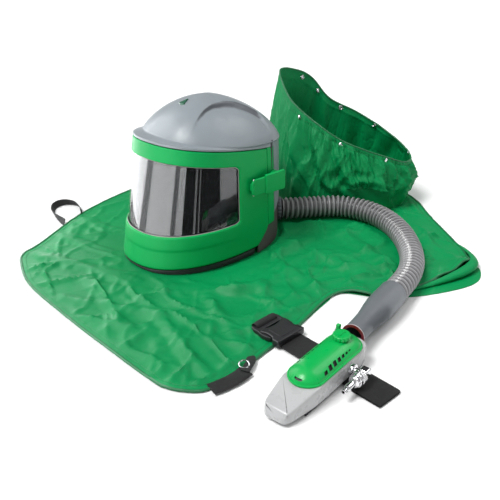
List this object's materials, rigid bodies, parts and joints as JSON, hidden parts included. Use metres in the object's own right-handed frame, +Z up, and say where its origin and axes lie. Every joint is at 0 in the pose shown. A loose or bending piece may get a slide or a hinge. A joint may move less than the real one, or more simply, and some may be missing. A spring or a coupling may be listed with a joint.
{
  "type": "air fed blasting respirator kit",
  "caption": "Air fed respirator kit laid out flat: helmet with side hinged visor, cape with neck collar, corrugated breathing tube and belt worn air flow valve with inlet plug.",
  "frame": {"origin": "on the floor, at the middle of the footprint of the whole layout", "axes": "+X to the right of the laid out kit, +Y away from its viewer, +Z up; the helmet faces the front left"},
  "size_m": [0.874, 0.8633, 0.2953],
  "materials": {
    "shell_grey": "gloss, fine moulded shell",
    "visor_green": "gloss moulded plastic",
    "badge": "gloss inset",
    "inner_grey": "satin moulded plastic",
    "seal_black": "matt rubber",
    "retainer_black": "satin black plastic",
    "neck_taupe": "matt dark rubber",
    "lens_clear": "clear polycarbonate",
    "tab_white": "satin film tab",
    "pin_steel": "brushed steel",
    "pad_fabric": "soft padding",
    "web_black": "woven black webbing",
    "duct_grey": "satin plastic",
    "fitting_grey": "satin moulded plastic",
    "tube_grey": "semi gloss corrugated hose",
    "cuff_grey": "smooth satin rubber",
    "ring_red": "gloss dark red",
    "unit_grey": "gloss light grey plastic",
    "unit_green": "gloss moulded plastic",
    "chrome": "polished chrome",
    "buckle_black": "satin black plastic",
    "cape_green": "coated green cloth"
  },
  "bodies": {
    "respirator": {"helmet_shell": "shell_grey", "side_band_left": "visor_green", "side_band_right": "visor_green", "hinge_bracket": "visor_green", "latch_keeper": "visor_green", "crown_badge": "badge", "face_surround": "inner_grey", "face_seal": "seal_black", "chin_plate": "seal_black", "rim_seal": "seal_black", "headband": "retainer_black", "ratchet_housing": "retainer_black", "neck_collar": "neck_taupe", "hinge_pin": "pin_steel", "release_pin": "pin_steel", "plate_screws": "pin_steel", "valve_cartridge": "pin_steel", "vortex_tube": "pin_steel", "strap_ring": "pin_steel", "brow_pad": "pad_fabric", "crown_pad": "pad_fabric", "silencer_foam": "pad_fabric", "crown_straps": "web_black", "belt_webbing": "web_black", "strap_loop": "web_black", "side_strap": "web_black", "air_duct": "duct_grey", "air_spigot": "fitting_grey", "swivel_nut": "fitting_grey", "breathing_tube": "tube_grey", "lower_cuff": "cuff_grey", "coupling_ring": "ring_red", "valve_housing": "unit_grey", "valve_cover": "unit_green", "inlet_elbow": "chrome", "inlet_plug": "chrome", "collar_snaps": "chrome", "belt_plate": "buckle_black", "buckle_socket": "buckle_black", "cape_front": "cape_green", "cape_back": "cape_green", "cape_fold": "cape_green", "cape_collar": "cape_green"},
    "visor": {"visor_frame": "visor_green", "hinge_leaf": "visor_green", "lens_gasket": "seal_black", "outer_lens": "lens_clear", "tear_off_lens": "lens_clear", "tear_off_tab": "tab_white", "lens_retainer": "retainer_black", "inner_lens": "lens_clear", "latch_lug": "visor_green", "latch_pin": "pin_steel"},
    "latch": {"latch_lever": "visor_green"},
    "flow_dial": {"flow_dial": "unit_green"},
    "release_lever": {"release_lever": "unit_green"},
    "inlet_sleeve": {"inlet_sleeve": "chrome"},
    "buckle_prongs": {"buckle_prongs": "buckle_black"},
    "ratchet_knob": {"ratchet_knob": "retainer_black"}
  },
  "joints": [
    {"name": "visor_hinge", "type": "hinge", "parent": "respirator", "child": "visor", "pos_m": [-0.119, 0.2667, 0.118], "axis": [0, 0, -1], "range_deg": [0, 110]},
    {"name": "latch_pivot", "type": "hinge", "parent": "visor", "child": "latch", "pos_m": [0.01074, 0.0531, 0.13675], "axis": [0, -0.0698, -0.9976], "range_deg": [0, 45]},
    {"name": "flow_dial_turn", "type": "hinge", "parent": "respirator", "child": "flow_dial", "pos_m": [0.14228, -0.29156, 0.058], "axis": [0, 0, -1], "range_deg": [0, 270]},
    {"name": "release_lever_pivot", "type": "hinge", "parent": "respirator", "child": "release_lever", "pos_m": [0.14236, -0.25174, 0.04], "axis": [-0.7771, 0.6293, 0], "range_deg": [0, 20], "stiffness_Nm_per_rad": 0.02, "springref_deg": -5.73},
    {"name": "inlet_swivel", "type": "hinge", "parent": "respirator", "child": "inlet_sleeve", "pos_m": [0.16381, -0.3476, 0.022], "axis": [-0.6293, -0.7771, 0], "continuous": true},
    {"name": "buckle_release", "type": "slide", "parent": "respirator", "child": "buckle_prongs", "axis": [-0.6947, 0.7193, 0], "range_m": [0, 0.03]},
    {"name": "ratchet_turn", "type": "hinge", "parent": "respirator", "child": "ratchet_knob", "pos_m": [0.02081, 0.23596, 0.19112], "axis": [0.7431, 0.6675, -0.0467], "range_deg": [0, 340]}
  ]
}
